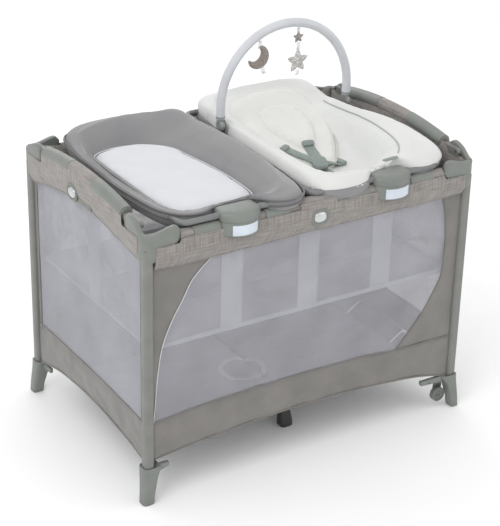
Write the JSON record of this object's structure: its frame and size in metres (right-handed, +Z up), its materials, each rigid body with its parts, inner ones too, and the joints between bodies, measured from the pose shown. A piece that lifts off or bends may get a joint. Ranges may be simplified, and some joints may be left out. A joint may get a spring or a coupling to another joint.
{
  "type": "travel play yard",
  "caption": "Folding travel cot with mesh sides, raised bassinet, changing table, newborn lounger with harness and toy arch, on hinged rails and legs.",
  "frame": {"origin": "on the floor, under the middle of the cot's four posts", "axes": "+X along the long side towards the caster end, +Y towards the back, +Z up"},
  "size_m": [1.056, 0.756, 1.098],
  "materials": {
    "painted_tube": "satin paint",
    "grey_plastic": "fine moulded grain",
    "caster_plastic": "moulded",
    "latch_plastic": "moulded",
    "button_plastic": "satin",
    "steel_tube": "powder coat",
    "dark_plastic": "moulded",
    "band_linen": "melange weave",
    "shell_cloth": "plain weave",
    "shell_mesh": "open mesh",
    "white_binding": "woven tape",
    "bassinet_mesh": "open mesh with tapes",
    "mattress_cloth": "quilted plain weave",
    "changer_cloth": "plain weave",
    "white_pad": "brushed knit",
    "white_cushion": "brushed knit",
    "harness_webbing": "webbing",
    "arch_cloth": "stitched sleeve",
    "toy_plush": "plush"
  },
  "bodies": {
    "leg_front_left": {"post_front_left": "painted_tube", "bracket_front_left": "grey_plastic", "foot_front_left": "grey_plastic", "fabric_shell": "shell_cloth", "bassinet": "bassinet_mesh"},
    "leg_front_right": {"post_front_right": "painted_tube", "bracket_front_right": "grey_plastic", "foot_front_right": "grey_plastic"},
    "leg_back_left": {"post_back_left": "painted_tube", "bracket_back_left": "grey_plastic", "foot_back_left": "grey_plastic"},
    "leg_back_right": {"post_back_right": "painted_tube", "bracket_back_right": "grey_plastic", "foot_back_right": "grey_plastic"},
    "wheel_front": {"wheel_front": "caster_plastic"},
    "wheel_back": {"wheel_back": "caster_plastic"},
    "long_rail_front_left": {"long_rail_front_left": "band_linen", "long_clips_front_left": "grey_plastic"},
    "short_rail_front_left": {"short_rail_front_left": "band_linen", "short_clip_front_left": "grey_plastic"},
    "floor_tube_front_left": {"floor_tube_front_left": "steel_tube"},
    "long_rail_front_right": {"long_rail_front_right": "band_linen", "long_clips_front_right": "grey_plastic"},
    "short_rail_front_right": {"short_rail_front_right": "band_linen", "short_clip_front_right": "grey_plastic"},
    "floor_tube_front_right": {"floor_tube_front_right": "steel_tube"},
    "long_rail_back_left": {"long_rail_back_left": "band_linen", "long_clips_back_left": "grey_plastic"},
    "short_rail_back_left": {"short_rail_back_left": "band_linen", "short_clip_back_left": "grey_plastic"},
    "floor_tube_back_left": {"floor_tube_back_left": "steel_tube"},
    "long_rail_back_right": {"long_rail_back_right": "band_linen", "long_clips_back_right": "grey_plastic"},
    "short_rail_back_right": {"short_rail_back_right": "band_linen", "short_clip_back_right": "grey_plastic"},
    "floor_tube_back_right": {"floor_tube_back_right": "steel_tube"},
    "latch_front": {"latch_front": "latch_plastic"},
    "button_front": {"button_front": "button_plastic"},
    "latch_back": {"latch_back": "latch_plastic"},
    "button_back": {"button_back": "button_plastic"},
    "latch_left": {"latch_left": "latch_plastic"},
    "button_left": {"button_left": "button_plastic"},
    "latch_right": {"latch_right": "latch_plastic"},
    "button_right": {"button_right": "button_plastic"},
    "floor_hub": {"floor_hub": "dark_plastic"},
    "centre_leg_front": {"centre_leg_front": "dark_plastic"},
    "centre_leg_back": {"centre_leg_back": "dark_plastic"},
    "mattress_left": {"mattress_left": "mattress_cloth"},
    "mattress_right": {"mattress_right": "mattress_cloth"},
    "changer": {"changer_frame": "steel_tube", "changer_cover": "changer_cloth", "changer_pad": "white_pad", "changer_pods": "grey_plastic"},
    "napper": {"napper_frame": "steel_tube", "napper_cushion": "white_cushion", "napper_pods": "grey_plastic", "napper_harness": "harness_webbing"},
    "toy_arch": {"toy_arch": "arch_cloth"},
    "toy_moon": {"toy_moon": "toy_plush"},
    "toy_star": {"toy_star": "toy_plush"}
  },
  "joints": [
    {"name": "fold", "type": "hinge", "parent": "leg_front_left", "child": "floor_tube_front_left", "pos_m": [-0.472, -0.297, 0.1], "axis": [0.5007, -0.8656, 0], "range_deg": [0, 84], "deforming": ["fabric_shell", "bassinet", "mattress_left", "mattress_right"]},
    {"name": "hub_level", "type": "hinge", "parent": "floor_tube_front_left", "child": "floor_hub", "pos_m": [-0.045, -0.05, 0.1], "axis": [0.5007, -0.8656, 0], "range_deg": [-84, 0]},
    {"name": "floor_tube_front_right_turn", "type": "hinge", "parent": "floor_hub", "child": "floor_tube_front_right", "pos_m": [0.045, -0.05, 0.1], "axis": [0.5007, 0.8656, 0], "range_deg": [0, 84]},
    {"name": "leg_front_right_turn", "type": "hinge", "parent": "floor_tube_front_right", "child": "leg_front_right", "pos_m": [0.472, -0.297, 0.1], "axis": [0.5007, 0.8656, 0], "range_deg": [-84, 0]},
    {"name": "floor_tube_back_left_turn", "type": "hinge", "parent": "floor_hub", "child": "floor_tube_back_left", "pos_m": [-0.045, 0.05, 0.1], "axis": [-0.5007, -0.8656, 0], "range_deg": [0, 84]},
    {"name": "leg_back_left_turn", "type": "hinge", "parent": "floor_tube_back_left", "child": "leg_back_left", "pos_m": [-0.472, 0.297, 0.1], "axis": [-0.5007, -0.8656, 0], "range_deg": [-84, 0]},
    {"name": "floor_tube_back_right_turn", "type": "hinge", "parent": "floor_hub", "child": "floor_tube_back_right", "pos_m": [0.045, 0.05, 0.1], "axis": [-0.5007, 0.8656, 0], "range_deg": [0, 84]},
    {"name": "leg_back_right_turn", "type": "hinge", "parent": "floor_tube_back_right", "child": "leg_back_right", "pos_m": [0.472, 0.297, 0.1], "axis": [-0.5007, 0.8656, 0], "range_deg": [-84, 0]},
    {"name": "centre_leg_front_turn", "type": "hinge", "parent": "floor_hub", "child": "centre_leg_front", "pos_m": [0.014, -0.05, 0.1], "axis": [1, 0, 0], "range_deg": [0, 84]},
    {"name": "centre_leg_back_turn", "type": "hinge", "parent": "floor_hub", "child": "centre_leg_back", "pos_m": [-0.014, 0.05, 0.1], "axis": [-1, 0, 0], "range_deg": [0, 84]},
    {"name": "long_rail_front_left_turn", "type": "hinge", "parent": "leg_front_left", "child": "long_rail_front_left", "pos_m": [-0.462, -0.332, 0.756], "axis": [0, 1, 0], "range_deg": [0, 84]},
    {"name": "short_rail_front_left_turn", "type": "hinge", "parent": "leg_front_left", "child": "short_rail_front_left", "pos_m": [-0.502, -0.292, 0.79], "axis": [-1, 0, 0], "range_deg": [0, 84]},
    {"name": "long_rail_front_right_turn", "type": "hinge", "parent": "leg_front_right", "child": "long_rail_front_right", "pos_m": [0.462, -0.332, 0.756], "axis": [0, -1, 0], "range_deg": [0, 84]},
    {"name": "short_rail_front_right_turn", "type": "hinge", "parent": "leg_front_right", "child": "short_rail_front_right", "pos_m": [0.502, -0.292, 0.79], "axis": [-1, 0, 0], "range_deg": [0, 84]},
    {"name": "long_rail_back_left_turn", "type": "hinge", "parent": "leg_back_left", "child": "long_rail_back_left", "pos_m": [-0.462, 0.332, 0.756], "axis": [0, 1, 0], "range_deg": [0, 84]},
    {"name": "short_rail_back_left_turn", "type": "hinge", "parent": "leg_back_left", "child": "short_rail_back_left", "pos_m": [-0.502, 0.292, 0.79], "axis": [1, 0, 0], "range_deg": [0, 84]},
    {"name": "long_rail_back_right_turn", "type": "hinge", "parent": "leg_back_right", "child": "long_rail_back_right", "pos_m": [0.462, 0.332, 0.756], "axis": [0, -1, 0], "range_deg": [0, 84]},
    {"name": "short_rail_back_right_turn", "type": "hinge", "parent": "leg_back_right", "child": "short_rail_back_right", "pos_m": [0.502, 0.292, 0.79], "axis": [1, 0, 0], "range_deg": [0, 84]},
    {"name": "latch_front_turn", "type": "hinge", "parent": "long_rail_front_left", "child": "latch_front", "pos_m": [-0.035, -0.332, 0.756], "axis": [0, 1, 0], "range_deg": [-84, 0]},
    {"name": "latch_back_turn", "type": "hinge", "parent": "long_rail_back_left", "child": "latch_back", "pos_m": [-0.035, 0.332, 0.756], "axis": [0, 1, 0], "range_deg": [-84, 0]},
    {"name": "latch_left_turn", "type": "hinge", "parent": "short_rail_front_left", "child": "latch_left", "pos_m": [-0.502, -0.045, 0.79], "axis": [-1, 0, 0], "range_deg": [-84, 0]},
    {"name": "latch_right_turn", "type": "hinge", "parent": "short_rail_front_right", "child": "latch_right", "pos_m": [0.502, -0.045, 0.79], "axis": [-1, 0, 0], "range_deg": [-84, 0]},
    {"name": "mattress_left_turn", "type": "hinge", "parent": "leg_front_left", "child": "mattress_left", "pos_m": [-0.484, 0, 0.116], "axis": [0, -1, 0], "range_deg": [0, 84]},
    {"name": "mattress_right_turn", "type": "hinge", "parent": "leg_front_right", "child": "mattress_right", "pos_m": [0.484, 0, 0.116], "axis": [0, 1, 0], "range_deg": [0, 84]},
    {"name": "button_front_press", "type": "slide", "parent": "latch_front", "child": "button_front", "axis": [0, 1, 0], "range_m": [0, 0.006], "stiffness_N_per_m": 300, "springref_m": -0.002},
    {"name": "button_back_press", "type": "slide", "parent": "latch_back", "child": "button_back", "axis": [0, -1, 0], "range_m": [0, 0.006], "stiffness_N_per_m": 300, "springref_m": -0.002},
    {"name": "button_left_press", "type": "slide", "parent": "latch_left", "child": "button_left", "axis": [1, 0, 0], "range_m": [0, 0.006], "stiffness_N_per_m": 300, "springref_m": -0.002},
    {"name": "button_right_press", "type": "slide", "parent": "latch_right", "child": "button_right", "axis": [-1, 0, 0], "range_m": [0, 0.006], "stiffness_N_per_m": 300, "springref_m": -0.002},
    {"name": "wheel_front_roll", "type": "hinge", "parent": "leg_front_right", "child": "wheel_front", "pos_m": [0.464, -0.332, 0.046], "axis": [0, 1, 0], "continuous": true},
    {"name": "wheel_back_roll", "type": "hinge", "parent": "leg_back_right", "child": "wheel_back", "pos_m": [0.464, 0.332, 0.046], "axis": [0, 1, 0], "continuous": true},
    {"name": "changer_lift", "type": "slide", "parent": "floor_hub", "child": "changer", "axis": [0, 0, 1], "range_m": [0, 0.25]},
    {"name": "napper_lift", "type": "slide", "parent": "floor_hub", "child": "napper", "axis": [0, 0, 1], "range_m": [0, 0.25]},
    {"name": "arch_swing", "type": "hinge", "parent": "napper", "child": "toy_arch", "pos_m": [0.2, 0.13, 0.82], "axis": [1, 0, 0], "range_deg": [-60, 60]},
    {"name": "moon_swing", "type": "hinge", "parent": "toy_arch", "child": "toy_moon", "pos_m": [0.107, 0.13, 1.048], "axis": [1, 0, 0], "range_deg": [-45, 45]},
    {"name": "star_swing", "type": "hinge", "parent": "toy_arch", "child": "toy_star", "pos_m": [0.239, 0.13, 1.068], "axis": [1, 0, 0], "range_deg": [-45, 45]}
  ],
  "couplings": [
    {"joint": "hub_level", "follows": "fold", "ratio": -1},
    {"joint": "floor_tube_front_right_turn", "follows": "fold", "ratio": 1},
    {"joint": "leg_front_right_turn", "follows": "fold", "ratio": -1},
    {"joint": "floor_tube_back_left_turn", "follows": "fold", "ratio": 1},
    {"joint": "leg_back_left_turn", "follows": "fold", "ratio": -1},
    {"joint": "floor_tube_back_right_turn", "follows": "fold", "ratio": 1},
    {"joint": "leg_back_right_turn", "follows": "fold", "ratio": -1},
    {"joint": "centre_leg_front_turn", "follows": "fold", "ratio": 1},
    {"joint": "centre_leg_back_turn", "follows": "fold", "ratio": 1},
    {"joint": "long_rail_front_left_turn", "follows": "fold", "ratio": 1},
    {"joint": "short_rail_front_left_turn", "follows": "fold", "ratio": 1},
    {"joint": "long_rail_front_right_turn", "follows": "fold", "ratio": 1},
    {"joint": "short_rail_front_right_turn", "follows": "fold", "ratio": 1},
    {"joint": "long_rail_back_left_turn", "follows": "fold", "ratio": 1},
    {"joint": "short_rail_back_left_turn", "follows": "fold", "ratio": 1},
    {"joint": "long_rail_back_right_turn", "follows": "fold", "ratio": 1},
    {"joint": "short_rail_back_right_turn", "follows": "fold", "ratio": 1},
    {"joint": "latch_front_turn", "follows": "fold", "ratio": -1},
    {"joint": "latch_back_turn", "follows": "fold", "ratio": -1},
    {"joint": "latch_left_turn", "follows": "fold", "ratio": -1},
    {"joint": "latch_right_turn", "follows": "fold", "ratio": -1},
    {"joint": "mattress_left_turn", "follows": "fold", "ratio": 1},
    {"joint": "mattress_right_turn", "follows": "fold", "ratio": 1}
  ]
}
